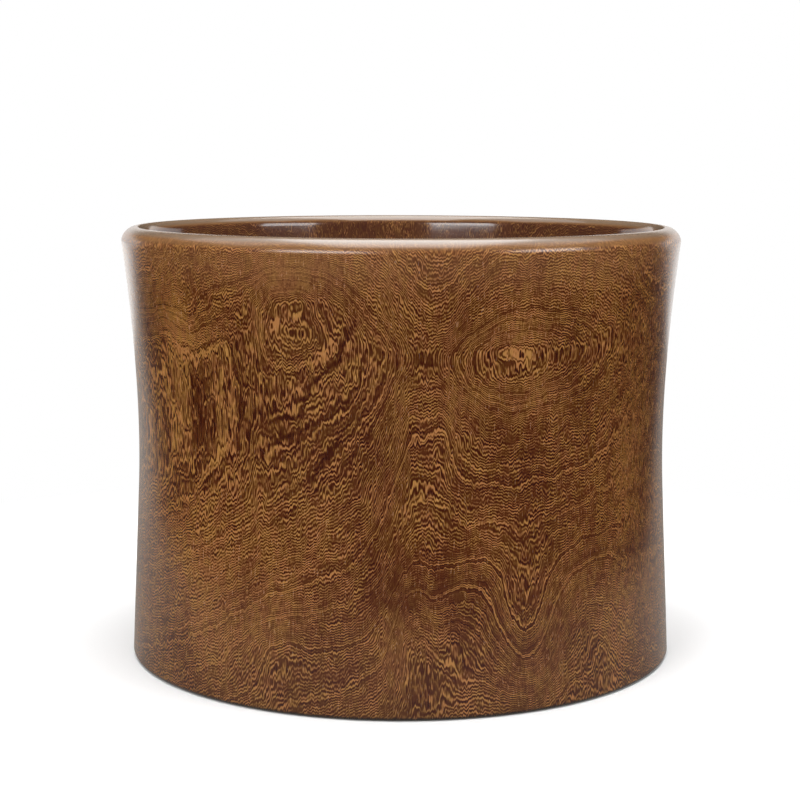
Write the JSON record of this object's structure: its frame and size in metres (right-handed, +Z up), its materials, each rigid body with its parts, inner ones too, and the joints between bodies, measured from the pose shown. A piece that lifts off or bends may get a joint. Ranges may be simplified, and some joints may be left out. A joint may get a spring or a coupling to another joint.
{
  "type": "scroll pot",
  "caption": "Round turned wooden scroll pot with a waisted wall, a rolled flaring lip, a foot ring and a stepped plug in its floor.",
  "frame": {"origin": "centre of the plane that the foot ring stands on", "axes": "+Z up along the turning axis; the side that the picture shows faces -Y, with +X to its right"},
  "size_m": [0.3, 0.3, 0.2304],
  "materials": {
    "body_wood": "satin wax polish over feathery brown and golden figure",
    "plug_wood": "dull wax polish, end grain"
  },
  "bodies": {
    "root": {"pot_body": "body_wood", "base_plug": "plug_wood"}
  },
  "joints": []
}
